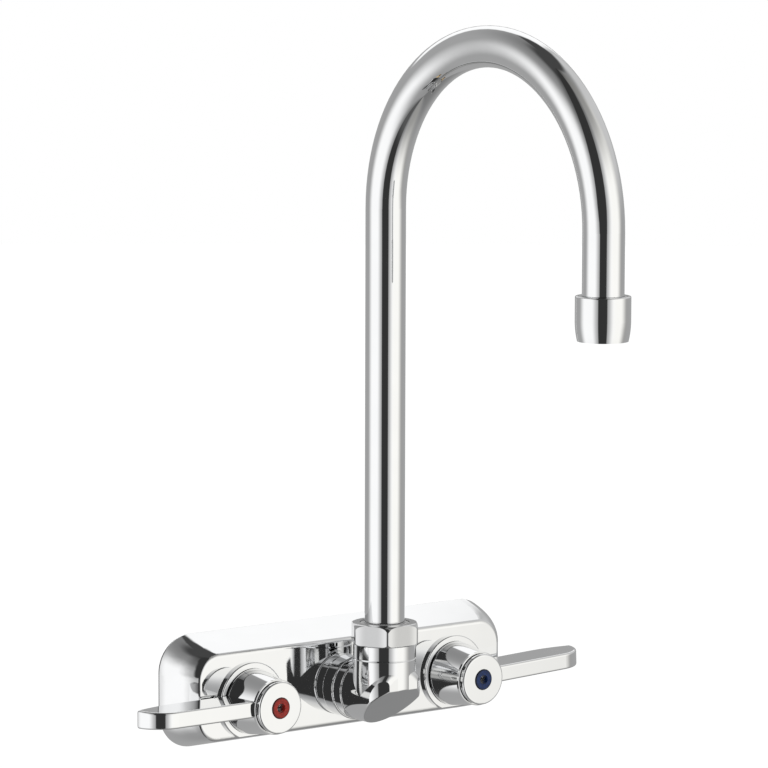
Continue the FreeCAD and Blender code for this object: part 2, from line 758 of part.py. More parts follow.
def make_swivel():
    """Adapter, nut, bushing and sealed sleeve that let the spout turn."""
    seal_radius = adapter_socket_radius - slip_clearance
    save(pipe_up(seal_radius, swivel_bore_radius, elbow_socket_floor, adapter_floor), "adapter_seal")

    adapter = spun([
        (adapter_socket_radius - thread_clearance, adapter_floor),
        (adapter_socket_radius - thread_clearance, elbow_top),
        (elbow_radius - seam_chamfer, elbow_top),
        (elbow_radius, elbow_top + seam_chamfer),
        (elbow_radius, collar_top - seam_chamfer),
        (elbow_radius - seam_chamfer, collar_top),
        (adapter_thread_radius, collar_top),
        (adapter_thread_radius, adapter_top),
    ], spout_axis)
    save(adapter.cut(post(swivel_bore_radius, adapter_floor, adapter_top)), "spout_adapter")

    outline = hexagon(spout_nut_flats, spout_nut_turn)
    corners = [Vector(across, out - spout_axis, nut_bottom) for across, out in outline]
    nut_height = spout_nut_top - nut_bottom
    nut = Part.Face(Part.makePolygon(corners + corners[:1])).extrude(Vector(0, 0, nut_height))
    upright_edges = [edge for edge in nut.Edges if edge.BoundBox.ZLength > nut_height / 2]
    nut = nut.makeFillet(spout_nut_corner_round, upright_edges)
    corner_radius = spout_nut_flats / math.sqrt(3) - spout_nut_corner_round * (2 / math.sqrt(3) - 1)
    turned_form = post(corner_radius, nut_bottom, spout_nut_top)
    turned_form = turned_form.makeFillet(spout_nut_shoulder_round, rims_at_height(turned_form, spout_nut_top))
    turned_form = turned_form.makeFillet(spout_nut_foot_round, rims_at_height(turned_form, nut_bottom))
    nut = nut.common(turned_form)
    nut = nut.cut(post(adapter_thread_radius + thread_clearance, nut_bottom, nut_lip))
    save(nut.cut(post(spout_nut_mouth_radius, nut_lip, spout_nut_top)), "spout_nut")

    bushing = spun([
        (sleeve_flange_radius, flange_top),
        (sleeve_flange_radius, flange_top + bushing_flange_thickness),
        (bushing_radius, flange_top + bushing_flange_thickness),
        (bushing_radius, nut_lip + bushing_collar_height),
    ], spout_axis)
    save(bushing.cut(post(sleeve_bore, flange_top, nut_lip + bushing_collar_height)), "swivel_bushing")

    sleeve = spun([
        (sleeve_radius, sleeve_floor),
        (sleeve_radius, flange_bottom),
        (sleeve_flange_radius, flange_bottom),
        (sleeve_flange_radius, flange_top),
    ], spout_axis)
    sleeve = sleeve.cut(post(sleeve_bore, tube_floor, flange_top))
    sleeve = sleeve.cut(post(tube_radius - tube_wall, sleeve_floor, tube_floor))
    first = (sleeve_floor + flange_bottom - sleeve_ring_pitch) / 2
    heights = [first, first + sleeve_ring_pitch]
    for height in heights:
        low = height - sleeve_ring_section - slip_clearance
        high = height + sleeve_ring_section + slip_clearance
        sleeve = sleeve.cut(pipe_up(swivel_bore_radius, sleeve_radius - 2 * sleeve_ring_section, low, high))
    save(sleeve, "spout_sleeve")
    rings = [Part.makeTorus(sleeve_radius - sleeve_ring_section, sleeve_ring_section,
                            Vector(0, -spout_axis, height)) for height in heights]
    save(Part.makeCompound(rings), "spout_o_rings")


def bent_bar(radius):
    """Round bar along the gooseneck: up, over in a half circle, and down to the outlet."""
    arch = spout_reach / 2
    foot = Vector(0, -spout_axis, tube_floor)
    rise = Vector(0, -spout_axis, spout_spring_height)
    crown = Vector(0, -spout_axis - arch, spout_spring_height + arch)
    drop = Vector(0, -outlet_reach, spout_spring_height)
    end = Vector(0, -outlet_reach, tube_end)
    path = Part.Wire([
        Part.LineSegment(foot, rise).toShape(),
        Part.Arc(rise, crown, drop).toShape(),
        Part.LineSegment(drop, end).toShape(),
    ])
    section = Part.Wire([Part.makeCircle(radius, foot, Vector(0, 0, 1))])
    return path.makePipeShell([section], True, False)


def make_spout():
    """Gooseneck tube."""
    save(bent_bar(tube_radius).cut(bent_bar(tube_radius - tube_wall)), "spout_tube")


def make_aerator():
    """Ferrule on the tube's end, and the aerator that screws onto it."""
    ferrule = pipe_up(ferrule_radius, sleeve_bore, tube_end, ferrule_top, outlet_reach)
    lip = pipe_up(ferrule_radius, tube_radius - tube_wall, ferrule_floor, tube_end, outlet_reach)
    save(ferrule.fuse(lip).removeSplitter(), "outlet_ferrule")

    taper_top = aerator_top - aerator_barrel_height
    belly = Vector((aerator_mouth_radius + 2 * aerator_radius) / 3, -outlet_reach,
                   (outlet_height + taper_top) / 2 - aerator_edge_round)
    mouth = Vector(aerator_mouth_radius, -outlet_reach, outlet_height)
    shoulder = Vector(aerator_radius, -outlet_reach, taper_top)
    rim = Vector(aerator_radius, -outlet_reach, aerator_top)
    top = Vector(0, -outlet_reach, aerator_top)
    bottom = Vector(0, -outlet_reach, outlet_height)
    outline = Part.Wire([
        Part.Arc(mouth, belly, shoulder).toShape(),
        Part.LineSegment(shoulder, rim).toShape(),
        Part.LineSegment(rim, top).toShape(),
        Part.LineSegment(top, bottom).toShape(),
        Part.LineSegment(bottom, mouth).toShape(),
    ])
    housing = Part.Face(outline).revolve(Vector(0, -outlet_reach, 0), Vector(0, 0, 1), 360)
    housing = housing.makeFillet(aerator_edge_round, rims_at_height(housing, aerator_top))
    housing = housing.cut(post(aerator_bore, insert_floor, aerator_top, outlet_reach))
    mouth_bore = aerator_bore - aerator_lip_width
    save(housing.cut(post(mouth_bore, outlet_height, insert_floor, outlet_reach)), "aerator_housing")

    washer_bore = insert_radius - aerator_washer_width
    save(pipe_up(insert_radius, washer_bore, insert_top, ferrule_floor, outlet_reach), "aerator_washer")

    insert_bottom = insert_floor + screen_thickness
    plate_bottom = insert_top - insert_plate
    insert = post(insert_radius, insert_bottom, insert_top, outlet_reach)
    insert = insert.cut(post(insert_radius - insert_wall, insert_bottom, plate_bottom, outlet_reach))
    for step in range(insert_jet_count):
        angle = 2 * math.pi * step / insert_jet_count
        place = Vector(insert_jet_ring * math.cos(angle), insert_jet_ring * math.sin(angle) - outlet_reach,
                       plate_bottom)
        insert = insert.cut(Part.makeCylinder(insert_jet_radius, insert_plate, place))
    save(insert, "aerator_insert")

    screen = post(insert_radius, insert_floor, insert_bottom, outlet_reach)
    count = int((insert_radius - insert_wall) / screen_pitch)
    holes = []
    for column in range(-count, count + 1):
        for row in range(-count, count + 1):
            across = column * screen_pitch
            out = row * screen_pitch
            if math.hypot(across, out) < insert_radius - insert_wall - screen_hole / 2:
                holes.append(Part.makeBox(
                    screen_hole, screen_hole, screen_thickness,
                    Vector(across - screen_hole / 2, out - outlet_reach - screen_hole / 2, insert_floor)))
    save(screen.cut(holes), "aerator_screen")


def main():
    save(make_body(), "faucet_body")
    save(make_wall_gasket(), "wall_gasket")
    for name, side, rest_angle in SIDES:
        save(make_shank(side), f"{name}_inlet_shank")
        make_valve(name, side)
        make_stem(name, side, rest_angle)
        make_handle(name, side, rest_angle)
    save(pair(make_shank_seal), "shank_seals")
    save(pair(make_panel_washer), "panel_washers")
    save(pair(make_panel_nut), "panel_nuts")
    make_elbow()
    make_swivel()
    make_spout()
    make_aerator()


main()
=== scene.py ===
"""Looks of a wall-mounted bar sink faucet with two lever handles and a swivelling gooseneck spout.

The packed model is the fixed frame. Everything is in metres, +Z up, with the wall in the plane y = 0 and
the faucet standing out towards -Y.
"""
import json
import math

import bmesh
import bpy
from bpy.props import FloatProperty, FloatVectorProperty, IntProperty, PointerProperty
from mathutils import Matrix, Vector


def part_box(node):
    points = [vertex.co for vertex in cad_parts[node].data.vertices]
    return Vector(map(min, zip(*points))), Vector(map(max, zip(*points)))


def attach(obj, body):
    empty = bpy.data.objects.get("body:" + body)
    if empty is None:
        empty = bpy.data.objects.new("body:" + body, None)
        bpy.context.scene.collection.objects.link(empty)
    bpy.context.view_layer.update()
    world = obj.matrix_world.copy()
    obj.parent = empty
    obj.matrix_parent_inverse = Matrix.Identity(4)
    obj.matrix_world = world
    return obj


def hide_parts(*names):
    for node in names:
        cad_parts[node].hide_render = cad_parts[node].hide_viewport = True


bl_info = {
    "name": "Bar Sink Faucet",
    "version": (1, 0, 0),
    "blender": (4, 5, 0),
    "location": "View3D > Sidebar > Faucet",
    "description": "Chrome, brass and rubber finishes, cut threads and a light tent for a bar sink faucet",
    "category": "Add Mesh",
}

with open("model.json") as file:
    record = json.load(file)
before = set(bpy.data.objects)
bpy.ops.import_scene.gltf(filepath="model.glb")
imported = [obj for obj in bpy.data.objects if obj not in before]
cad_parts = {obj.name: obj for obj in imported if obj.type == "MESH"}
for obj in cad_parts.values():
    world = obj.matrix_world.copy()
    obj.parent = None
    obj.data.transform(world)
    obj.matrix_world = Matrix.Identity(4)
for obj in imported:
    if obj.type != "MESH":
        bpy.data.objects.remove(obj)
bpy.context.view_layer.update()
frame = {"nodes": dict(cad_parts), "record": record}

SIDES = ("hot", "cold")
MOUNTS = {mount["name"]: mount for mount in frame["record"]["mounts"]}
RENDER_PIXELS = 768
SENSOR_WIDTH = 36.0
Y_AXIS, Z_AXIS = 1, 2
WHITE = (1.0, 1.0, 1.0)
WARM_WHITE = (1.0, 0.99, 0.955)

# The light tent's parts, in degrees: a turn from the camera, minus to the left, and a height above
# level. A pair runs from where a part has none of its strength to where it has all of it. A loss, a share
# and a light are brightness, and the strip's slant and taper are degrees of turn for each of height.
TENT_LEFT = (5, -5)
TENT_RIGHT = (-5, 5)
GROUND_RISE = (-85, -45)
REAR_GROUND_TURN, REAR_GROUND_FALL, REAR_GROUND_LOSS = (90, 130), (-15, -60), 0.4
UPPER_FALL, UPPER_LAG, UPPER_LOSS = (30, 75), 15, 0.5
REAR_BOX_START, REAR_BOX_END, REAR_BOX_SHARE = (78, 100), (172, 150), 0.56
REAR_BOX_FOOT, REAR_BOX_HEAD = (-2, 18), (66, 46)
BOX_FOOT = (-66, -20)
LEFT_BOX_EDGE, LEFT_BOX_HEAD = (-114, -80), (51, 14)
RIGHT_BOX_EDGE, RIGHT_BOX_HEAD = (112, 76), (58, 18)
RIGHT_BOX_NARROWING, RIGHT_BOX_NARROWED = (0, -14), 7
CEILING_RISE = (64, 76)
CEILING_REAR_RIGHT, CEILING_REAR_LEFT, CEILING_REAR_DROP = (120, 160), (-158, -176), 20
CEILING_SIDE_START, CEILING_SIDE_END, CEILING_SIDE_LIFT = (25, 50), (130, 105), 14
STRIP_FOOT, STRIP_HEAD, STRIP_EDGE = (14, 17.5), (54, 47), (39, 31)
STRIP_OFFSET, STRIP_SLANT, STRIP_TAPER = 21, 0.5, 0.4
FLAG_SHARP_EDGE, FLAG_SHARP_SHARE = (16.5, 21.5), 0.4
FLAG_SOFT_EDGE, FLAG_SOFT_SHARE = (19, 47), 0.6
FLAG_LEFT_SHIFT, FLAG_LEFT_RISE, FLAG_LEFT_RISEN = 1.5, (-5, 8), 8
FLAG_RIGHT_RISE, FLAG_RIGHT_RISEN = (12, -8), 2.5
FLAG_TOP_RISE, FLAG_TOP_RISEN = (45, 80), 7
FLAG_FOOT, FLAG_FOOT_LIGHT = (-40, -62), 0.065
WARM_START, WARM_END = (20, 60), (120, 90)

# The world's strength where nothing shows it, beside 1 where it shows, and how finely the tent's sphere is
# divided. The floor is a disc whose radius is a number of tent radii, with the level of its paint and of
# the light that it gives where it shows.
HIDDEN_WORLD, TENT_SUBDIVISIONS = 0.85, 5
FLOOR_SPREAD, FLOOR_SEGMENTS = 12, 96
FLOOR_PAINT, FLOOR_LIGHT = 0.82, 0.35

# Cut threads: the share of a pitch that is flat at the crest, and as much at the root, the bend that stays
# sharp, and how many times the hair at a square edge goes into the distance between two rings.
THREAD_FLAT = 0.12
THREAD_SHARP_ANGLE = math.radians(40)
HAIRS_PER_STEP = 50

# Finishes. A grain is the size of a noise's grains and a bump is a height, both in metres. An edge is where
# a mask starts and ends, a shade is a share of the colour, and a lift is added to each of its channels.
WIPE_GRAIN, WIPE_EDGE, WIPE_SHADE = (0.019, 0.012, 0.015), (0.42, 0.66), 0.985
# The spout nut's corners get a painted highlight, which starts and ends at these shares of its flats' and
# corners' distance from its axis.
NUT_SIDES, NUT_CORNER_HIGHLIGHT_START, NUT_CORNER_HIGHLIGHT_END = 6, 1.03, 0.98
NUT_CLOUD_GRAIN, NUT_RIPPLE_GRAIN, NUT_RIPPLE_SHARE = (0.004, 0.004, 0.006), 0.01, 0.3
NUT_FLAT_ROUGHNESS, NUT_CLOUD_ROUGHNESS = 0.10, 0.05
RING_LENGTH, RING_ROUGHNESS, RING_BUMP = 0.03, 0.16, 0.00001
CLEAN_GRAIN, CLEAN_EDGE, CLEAN_POLISH, TARNISH_SHADE = 0.006, (0.35, 0.75), 0.05, 0.84
ZINC_ROUGHNESS, ZINC_SPECK_GRAIN, ZINC_SPECK_BUMP = 0.26, 0.0006, 0.000012
BLOOM_GRAIN, BLOOM_SHADE, BLOOM_ROUGHNESS = 0.004, 0.8, 0.22
RUBBER_ROUGHNESS, RUBBER_GRAIN, RUBBER_BUMP = 0.55, 0.0004, 0.00002
DUST_GRAIN, DUST_EDGE, DUST_LIFT, DUST_ROUGHNESS = 0.003, (0.5, 0.8), 0.02, 0.2
FOAM_ROUGHNESS, FOAM_CELL = 0.82, 0.0007
PIT_EDGE, PIT_LIFT, PIT_ROUGHNESS, PIT_DEPTH = (0.15, 0.6), 0.035, 0.12, FOAM_CELL / 3
CERAMIC_ROUGHNESS, CERAMIC_COAT = 0.12, 0.3
LAP_GRAIN, LAP_SHADE, LAP_ROUGHNESS = 0.0008, 0.95, 0.08
DRIFT_GRAIN, DRIFT_SHADE = 0.008, 0.93
SKIN_GRAIN, SKIN_ROUGHNESS, SKIN_BUMP = 0.0005, 0.12, 0.00001
ENAMEL_ROUGHNESS, ENAMEL_COAT, ENAMEL_COAT_ROUGHNESS, ENAMEL_SPECULAR = 0.22, 0.06, 0.1, 0.3
MOTTLE_GRAIN, MOTTLE_EDGE, MOTTLE_SHADE = 0.0011, (0.35, 0.65), 0.6
MOTTLE_ROUGHNESS, MOTTLE_BUMP = 0.15, 0.00006
# The index ring's rim gets a painted shade, which starts and ends at these shares of its radius and darkens
# to this share of its colour.
RIM_SHADE_START, RIM_SHADE_END, RIM_SHADE = 0.78, 0.98, 0.12


class Value:
    """A shader socket whose operators add Math nodes to its tree."""

    def __init__(self, shader, socket):
        self.shader = shader
        self.socket = socket

    def math(self, operation, *values):
        return self.shader.node("ShaderNodeMath", {"operation": operation}, dict(enumerate(values)))

    def __add__(self, other):
        return self.math("ADD", self, other)

    def __radd__(self, other):
        return self.math("ADD", other, self)

    def __sub__(self, other):
        return self.math("SUBTRACT", self, other)

    def __rsub__(self, other):
        return self.math("SUBTRACT", other, self)

    def __mul__(self, other):
        return self.math("MULTIPLY", self, other)

    def __rmul__(self, other):
        return self.math("MULTIPLY", other, self)

    def __abs__(self):
        return self.math("ABSOLUTE", self)

    def step(self, low, high):
        """0 at low and 1 at high with a soft step between them; it falls when low is above high."""
        return self.shader.node(
            "ShaderNodeMapRange", {"interpolation_type": "SMOOTHSTEP"},
            {"Value": self, "From Min": low, "From Max": high})

    def towards(self, other, mask):
        """This value where the mask is 0, the other one where it is 1."""
        return self + (other - self) * mask


class Shader:
    """The node tree of one material or of the world."""

    def __init__(self, tree):
        self.tree = tree
        self.tree.nodes.clear()

    def node(self, kind, settings=None, values=None, out=0):
        """Adds a node, makes its settings, fills its sockets and gives one of its outputs."""
        made = self.tree.nodes.new(kind)
        for name, setting in (settings or {}).items():
            setattr(made, name, setting)
        for key, value in (values or {}).items():
            socket = self.find(made.inputs, key)
            if isinstance(value, Value):
                self.tree.links.new(value.socket, socket)
            else:
                socket.default_value = value
        return Value(self, self.find(made.outputs, out)) if made.outputs else None

    @staticmethod
    def find(sockets, key):
        if isinstance(key, int):
            return sockets[key]
        return next(socket for socket in sockets if key in (socket.identifier, socket.name))

    def place(self):
        """Points of the piece where it was made, in metres."""
        return self.node("ShaderNodeTexCoord", out="Object")

    def grain(self, sizes):
        """The piece's points with each axis scaled so that one grain has the sizes given in metres."""
        scale = [1 / size for size in sizes]
        return self.node("ShaderNodeVectorMath", {"operation": "MULTIPLY"}, {0: self.place(), 1: scale})

    def noise(self, *sizes, detail=2.0):
        """Soft noise about 0.5 with one grain size in metres, or one for each axis."""
        vector = self.grain(sizes if len(sizes) == 3 else sizes * 3)
        return self.node("ShaderNodeTexNoise", None, {"Vector": vector, "Scale": 1.0, "Detail": detail})

    def tint(self, mask, dark, light):
        """Colour that goes from dark to light with a mask; each is a plain colour or a linked one."""
        dark, light = (end if isinstance(end, Value) else (*end, 1.0) for end in (dark, light))
        return self.node("ShaderNodeMix", {"data_type": "RGBA"}, {
            "Factor_Float": mask, "A_Color": dark, "B_Color": light}, out="Result_Color")

    def bump(self, height, distance):
        """Normal of a surface that stands up by a distance in metres where the height is 1."""
        return self.node("ShaderNodeBump", None, {"Height": height, "Distance": distance})

    def close(self, surface, kind="ShaderNodeOutputMaterial"):
        self.node(kind, None, {"Surface": surface})


def make_material(name, values, vary):
    """A principled material; vary adds the nodes of what changes over the surface and gives their sockets."""
    material = bpy.data.materials.new(name)
    material.use_nodes = True
    shader = Shader(material.node_tree)
    shader.close(shader.node("ShaderNodeBsdfPrincipled", None, {**values, **vary(shader)}))
    return material


def shaded(colour, factor):
    return tuple(channel * factor for channel in colour)


def lifted(colour, amount):
    return tuple(channel + amount for channel in colour)


def plated(name, look, ripple_grain, ripple_share=1.0):
    """Polished chrome plate over metal that keeps a slight ripple of the casting or forging."""
    def vary(shader):
        wiped = shader.noise(*WIPE_GRAIN, detail=4.0).step(*WIPE_EDGE)
        ripple = shader.noise(ripple_grain, detail=1.0)
        return {
            "Base Color": shader.tint(wiped, shaded(look.colour, WIPE_SHADE), look.colour),
            "Roughness": look.roughness + look.wipe_marks * wiped,
            "Normal": shader.bump(ripple, ripple_share * look.ripple),
        }
    return make_material(name, {"Metallic": 1.0}, vary)


def plated_nut(name, look, axis_y, flats, corners):
    """Duller chrome plate on a nut, with a painted highlight and a smoother plate where its corners stand out
    from its upright axis.
    """
    dull = shaded(look.colour, look.nut_dullness)

    def vary(shader):
        off_axis = shader.node("ShaderNodeVectorMath", {"operation": "SUBTRACT"}, {
            0: shader.place(), 1: (0.0, axis_y, 0.0)})
        level = shader.node("ShaderNodeVectorMath", {"operation": "MULTIPLY"}, {
            0: off_axis, 1: (1.0, 1.0, 0.0)})
        distance = shader.node("ShaderNodeVectorMath", {"operation": "LENGTH"}, {0: level}, out="Value")
        # Painted highlight: a lighter colour, and a smoother plate, where the nut's corners stand out.
        highlit_corners = distance.step(NUT_CORNER_HIGHLIGHT_START * flats, NUT_CORNER_HIGHLIGHT_END * corners)
        cloud = shader.noise(*NUT_CLOUD_GRAIN, detail=3.0)
        ripple = shader.noise(NUT_RIPPLE_GRAIN, detail=1.0)
        roughness = look.roughness + NUT_FLAT_ROUGHNESS * (1 - highlit_corners) + NUT_CLOUD_ROUGHNESS * cloud
        return {
            "Base Color": shader.tint(highlit_corners, dull, shaded(look.colour, (1 + look.nut_dullness) / 2)),
            "Roughness": roughness,
            "Normal": shader.bump(ripple, NUT_RIPPLE_SHARE * look.ripple),
        }
    return make_material(name, {"Metallic": 1.0}, vary)


def turned_metal(name, colour, roughness, pitch, axis):
    """Bare metal with the fine rings that a lathe leaves about an axis."""
    sizes = [RING_LENGTH] * 3
    sizes[axis] = pitch

    def vary(shader):
        rings = shader.noise(*sizes, detail=3.0)
        clean = shader.noise(CLEAN_GRAIN, detail=4.0).step(*CLEAN_EDGE)
        return {
            "Base Color": shader.tint(clean, shaded(colour, TARNISH_SHADE), colour),
            "Roughness": roughness + RING_ROUGHNESS * rings - CLEAN_POLISH * clean,
            "Normal": shader.bump(rings, RING_BUMP),
        }
    return make_material(name, {"Metallic": 1.0}, vary)


def zinc_plate(name, colour):
    """Zinc-plated steel with its faint cloudy bloom."""
    def vary(shader):
        bloom = shader.noise(BLOOM_GRAIN, detail=5.0)
        return {
            "Base Color": shader.tint(bloom, shaded(colour, BLOOM_SHADE), colour),
            "Roughness": ZINC_ROUGHNESS + BLOOM_ROUGHNESS * bloom,
            "Normal": shader.bump(shader.noise(ZINC_SPECK_GRAIN), ZINC_SPECK_BUMP),
        }
    return make_material(name, {"Metallic": 1.0}, vary)


def rubber(name, colour):
    """Matt moulded rubber with a light dusty bloom."""
    def vary(shader):
        dust = shader.noise(DUST_GRAIN, detail=5.0).step(*DUST_EDGE)
        return {
            "Base Color": shader.tint(dust, colour, lifted(colour, DUST_LIFT)),
            "Roughness": RUBBER_ROUGHNESS + DUST_ROUGHNESS * dust,
            "Normal": shader.bump(shader.noise(RUBBER_GRAIN), RUBBER_BUMP),
        }
    return make_material(name, {}, vary)


def closed_cell_foam(name, colour):
    """Dark foam sheet with its fine open cells on the cut edge."""
    def vary(shader):
        cells = shader.node("ShaderNodeTexVoronoi", None, {
            "Vector": shader.grain((FOAM_CELL,) * 3), "Scale": 1.0})
        pits = cells.step(*PIT_EDGE)
        return {
            "Base Color": shader.tint(pits, colour, lifted(colour, PIT_LIFT)),
            "Roughness": FOAM_ROUGHNESS + PIT_ROUGHNESS * pits,
            "Normal": shader.bump(pits, PIT_DEPTH),
        }
    return make_material(name, {}, vary)


def ceramic(name, colour):
    """Lapped ceramic: near white, glossy, with the faintest grain."""
    def vary(shader):
        lapped = shader.noise(LAP_GRAIN, detail=3.0)
        return {
            "Base Color": shader.tint(lapped, shaded(colour, LAP_SHADE), colour),
            "Roughness": CERAMIC_ROUGHNESS + LAP_ROUGHNESS * lapped,
        }
    return make_material(name, {"Coat Weight": CERAMIC_COAT}, vary)


def moulded(name, colour, roughness):
    """Moulded plastic with a fine eroded texture and slow colour drift."""
    def vary(shader):
        drift = shader.noise(DRIFT_GRAIN)
        skin = shader.noise(SKIN_GRAIN, detail=3.0)
        return {
            "Base Color": shader.tint(drift, shaded(colour, DRIFT_SHADE), colour),
            "Roughness": roughness + SKIN_ROUGHNESS * skin,
            "Normal": shader.bump(skin, SKIN_BUMP),
        }
    return make_material(name, {}, vary)


def index_enamel(name, colour, centre, radius):
    """Glossy filled colour, with a painted shade that darkens it towards the rim."""
    def vary(shader):
        mottle = shader.noise(MOTTLE_GRAIN, detail=4.0)
        off_centre = shader.node("ShaderNodeVectorMath", {"operation": "DISTANCE"}, {
            0: shader.place(), 1: centre}, out="Value")
        # Painted shade: the colour darkens towards the ring's rim.
        painted_rim_shade = off_centre.step(RIM_SHADE_START * radius, RIM_SHADE_END * radius)
        filled = shader.tint(mottle.step(*MOTTLE_EDGE), shaded(colour, MOTTLE_SHADE), colour)
        return {
            "Base Color": shader.tint(painted_rim_shade, filled, shaded(colour, RIM_SHADE)),
            "Roughness": ENAMEL_ROUGHNESS + MOTTLE_ROUGHNESS * mottle,
            "Normal": shader.bump(mottle, MOTTLE_BUMP),
        }
    return make_material(name, {
        "Coat Weight": ENAMEL_COAT, "Coat Roughness": ENAMEL_COAT_ROUGHNESS,
        "Specular IOR Level": ENAMEL_SPECULAR}, vary)


def dress(material, *nodes):
    """Gives nodes of the frame their finish."""
    for node in nodes:
        mesh = frame["nodes"][node].data
        for slot in range(len(mesh.materials)):
            mesh.materials[slot] = material


def body_of(node):
    return next(body for body, nodes in frame["record"]["behaviour"]["bodies"].items() if node in nodes)


def stand_in(name, mesh, node, material):
    """A finished piece that takes the place of one node of the frame."""
    mesh.materials.append(material)
    piece = bpy.data.objects.new(name, mesh)
    bpy.context.scene.collection.objects.link(piece)
    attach(piece, body_of(node))
    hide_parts(node)
    return piece


def mesh_of(name, shape, sharp_angle):
    """Turns a bmesh into a smooth mesh that keeps edges sharper than an angle."""
    bmesh.ops.recalc_face_normals(shape, faces=shape.faces)
    mesh = bpy.data.meshes.new(name)
    shape.to_mesh(mesh)
    shape.free()
    for face in mesh.polygons:
        face.use_smooth = True
    mesh.set_sharp_from_angle(angle=sharp_angle)
    return mesh


class FaucetPlate(bpy.types.PropertyGroup):
    """Chrome plate on the cast, forged and drawn pieces."""

    colour: FloatVectorProperty(
        name="Colour", description="Colour of the chrome plate", subtype="COLOR", size=3,
        default=(0.85, 0.855, 0.86), min=0.0, max=1.0)
    roughness: FloatProperty(
        name="Roughness", description="Roughness of the clean plate", subtype="FACTOR",
        default=0.02, min=0.0, max=1.0)
    wipe_marks: FloatProperty(
        name="Wipe marks", description="Roughness that faint wiping marks add", subtype="FACTOR",
        default=0.03, min=0.0, max=1.0)
    nut_dullness: FloatProperty(
        name="Nut dullness", description="Brightness of the spout nut's flats beside the clean plate",
        subtype="FACTOR", default=0.62, min=0.0, max=1.0)
    ripple: FloatProperty(
        name="Cast ripple", description="Height of the slow ripple of a casting under the plate",
        subtype="DISTANCE", unit="LENGTH", default=0.00003, min=0.0, precision=6)


class FaucetColours(bpy.types.PropertyGroup):
    """Colours of everything that isn't chrome."""

    hot: FloatVectorProperty(
        name="Hot index", description="Colour of the hot index", subtype="COLOR", size=3,
        default=(0.40, 0.022, 0.012), min=0.0, max=1.0)
    cold: FloatVectorProperty(
        name="Cold index", description="Colour of the cold index", subtype="COLOR", size=3,
        default=(0.007, 0.03, 0.13), min=0.0, max=1.0)
    brass: FloatVectorProperty(
        name="Brass", description="Colour of bare brass", subtype="COLOR", size=3,
        default=(0.74, 0.53, 0.24), min=0.0, max=1.0)
    steel: FloatVectorProperty(
        name="Steel", description="Colour of bare and zinc-plated steel", subtype="COLOR", size=3,
        default=(0.60, 0.60, 0.60), min=0.0, max=1.0)
    rubber: FloatVectorProperty(
        name="Rubber", description="Colour of the seals and the foam gasket", subtype="COLOR", size=3,
        default=(0.02, 0.02, 0.02), min=0.0, max=1.0)
    ceramic: FloatVectorProperty(
        name="Ceramic", description="Colour of the valve discs", subtype="COLOR", size=3,
        default=(0.82, 0.81, 0.77), min=0.0, max=1.0)
    bushing: FloatVectorProperty(
        name="Bushing", description="Colour of the swivel bushing", subtype="COLOR", size=3,
        default=(0.48, 0.48, 0.48), min=0.0, max=1.0)
    insert: FloatVectorProperty(
        name="Aerator insert", description="Colour of the plastic in the aerator", subtype="COLOR", size=3,
        default=(0.70, 0.70, 0.68), min=0.0, max=1.0)


class FaucetShank(bpy.types.PropertyGroup):
    """Cut of the two inlet shanks."""

    pitch: FloatProperty(
        name="Thread pitch", description="Distance between two turns of the thread",
        subtype="DISTANCE", unit="LENGTH", default=0.001814, min=0.0005, precision=6)
    depth: FloatProperty(
        name="Thread depth", description="Depth of the thread below its crest",
        subtype="DISTANCE", unit="LENGTH", default=0.00105, min=0.0001, precision=6)
    relief: FloatProperty(
        name="Relief depth", description="Depth of the relief between the two threads",
        subtype="DISTANCE", unit="LENGTH", default=0.0007, min=0.0, precision=6)
    relief_width: FloatProperty(
        name="Relief width", description="Width of the relief between the two threads",
        subtype="DISTANCE", unit="LENGTH", default=0.002, min=0.0, precision=6)
    shoulder: FloatProperty(
        name="Shoulder", description="How much less the spigot's radius is than the thread's",
        subtype="DISTANCE", unit="LENGTH", default=0.00195, min=0.0, precision=6)
    spigot: FloatProperty(
        name="Spigot length", description="Length of the spigot in the body, from the shoulder",
        subtype="DISTANCE", unit="LENGTH", default=0.0067, min=0.0, precision=6)
    wall: FloatProperty(
        name="Wall", description="Wall of the spigot about the water way",
        subtype="DISTANCE", unit="LENGTH", default=0.0023, min=0.0, precision=6)
    chamfer: FloatProperty(
        name="Chamfer", description="Chamfer at the open end",
        subtype="DISTANCE", unit="LENGTH", default=0.0012, min=0.0, precision=6)
    columns: IntProperty(
        name="Columns", description="Faces round the thread", default=72, min=12)
    rows: IntProperty(
        name="Rows", description="Faces along one turn of the thread", default=10, min=4)


